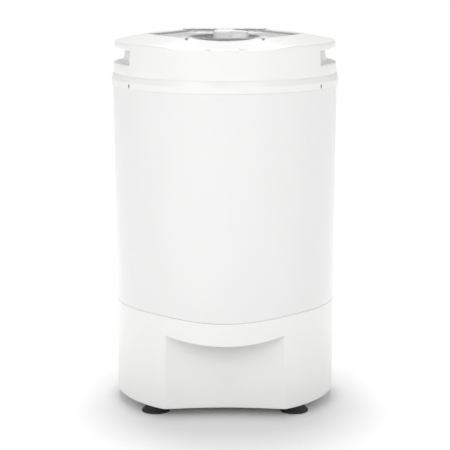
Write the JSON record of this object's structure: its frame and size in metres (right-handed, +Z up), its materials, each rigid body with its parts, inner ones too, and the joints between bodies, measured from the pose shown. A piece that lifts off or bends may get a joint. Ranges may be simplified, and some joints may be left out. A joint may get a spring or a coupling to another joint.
{
  "type": "laundry spin dryer",
  "caption": "Round free-standing laundry spin dryer with a hinged smoked lid, turning grip latch, perforated drum, motor, brake and a drain bay in front.",
  "frame": {"origin": "on the floor, on the drum's axis, at the middle of the footprint", "axes": "+Z up along the drum's axis, -Y to the front where the drain bay is, +X to the viewer's right"},
  "size_m": [0.3552, 0.3552, 0.5873],
  "materials": {
    "white_plastic": "satin moulded plastic",
    "smoked_plastic": "smoked translucent plastic",
    "inner_plastic": "moulded",
    "grey_plastic": "moulded",
    "black_plastic": "moulded",
    "rubber": "matt",
    "steel": "brushed",
    "zinc": "zinc plated",
    "cast": "as cast",
    "iron": "laminated or blackened",
    "copper": "enamelled wire",
    "lining": "friction lining"
  },
  "bodies": {
    "casing": {"base_housing": "white_plastic", "bottom_cover": "grey_plastic", "foot_front_left": "rubber", "foot_front_right": "rubber", "foot_rear_left": "rubber", "foot_rear_right": "rubber", "foot_screw_front_left": "zinc", "foot_screw_front_right": "zinc", "foot_screw_rear_left": "zinc", "foot_screw_rear_right": "zinc", "cord_gland": "black_plastic", "outer_shell": "white_plastic", "top_cover": "white_plastic", "band_screw_left_front": "iron", "band_screw_left_rear": "iron", "band_screw_right_front": "iron", "band_screw_right_rear": "iron", "water_tub": "inner_plastic", "tub_floor": "inner_plastic", "tub_seal": "rubber", "drain_spout": "grey_plastic", "drain_hose": "rubber", "shaft_seal": "rubber", "motor_lower_shield": "cast", "motor_upper_shield": "cast", "stator_core": "iron", "winding_upper": "copper", "winding_lower": "copper", "bearing_lower": "steel", "bearing_upper": "steel", "motor_plate": "zinc", "suspension_mount_rear": "rubber", "suspension_mount_left": "rubber", "suspension_mount_right": "rubber", "capacitor": "grey_plastic", "capacitor_clamp": "zinc", "brake_pivot": "steel", "brake_spring": "steel", "brake_cable": "black_plastic", "hinge_bracket_left": "smoked_plastic", "hinge_bracket_right": "smoked_plastic", "hinge_pin": "steel", "interlock_switch": "black_plastic"},
    "lid": {"lid": "smoked_plastic", "latch_housing": "grey_plastic"},
    "grip": {"knob": "white_plastic", "spindle": "steel"},
    "bolt": {"latch_bolt": "zinc"},
    "pushrod": {"interlock_pushrod": "grey_plastic"},
    "drum": {"drum": "steel", "drum_floor": "steel", "drum_rim": "inner_plastic", "drum_hub": "cast", "hub_nut": "steel", "drive_shaft": "steel", "rotor": "iron", "brake_disc": "cast"},
    "brake": {"brake_arm": "zinc", "brake_lining": "lining"}
  },
  "joints": [
    {"name": "lid_hinge", "type": "hinge", "parent": "casing", "child": "lid", "pos_m": [0, 0.114, 0.5775], "axis": [-1, 0, 0], "range_deg": [0, 100]},
    {"name": "grip_turn", "type": "hinge", "parent": "lid", "child": "grip", "pos_m": [0, 0, 0.57], "axis": [0, 0, -1], "range_deg": [0, 90]},
    {"name": "bolt_slide", "type": "slide", "parent": "lid", "child": "bolt", "axis": [0, -1, 0], "range_m": [0, 0.008]},
    {"name": "pushrod_slide", "type": "slide", "parent": "casing", "child": "pushrod", "axis": [0, -1, 0], "range_m": [0, 0.0033]},
    {"name": "brake_turn", "type": "hinge", "parent": "casing", "child": "brake", "pos_m": [-0.058, -0.042, 0.13], "axis": [0, 0, 1], "range_deg": [0, 2.6]},
    {"name": "drum_spin", "type": "hinge", "parent": "casing", "child": "drum", "pos_m": [0, 0, 0.3], "axis": [0, 0, 1], "continuous": true}
  ],
  "couplings": [
    {"joint": "bolt_slide", "follows": "grip_turn", "m_per_rad": 0.005093},
    {"joint": "pushrod_slide", "follows": "grip_turn", "m_per_rad": 0.0021008},
    {"joint": "brake_turn", "follows": "grip_turn", "ratio": 0.027778}
  ]
}
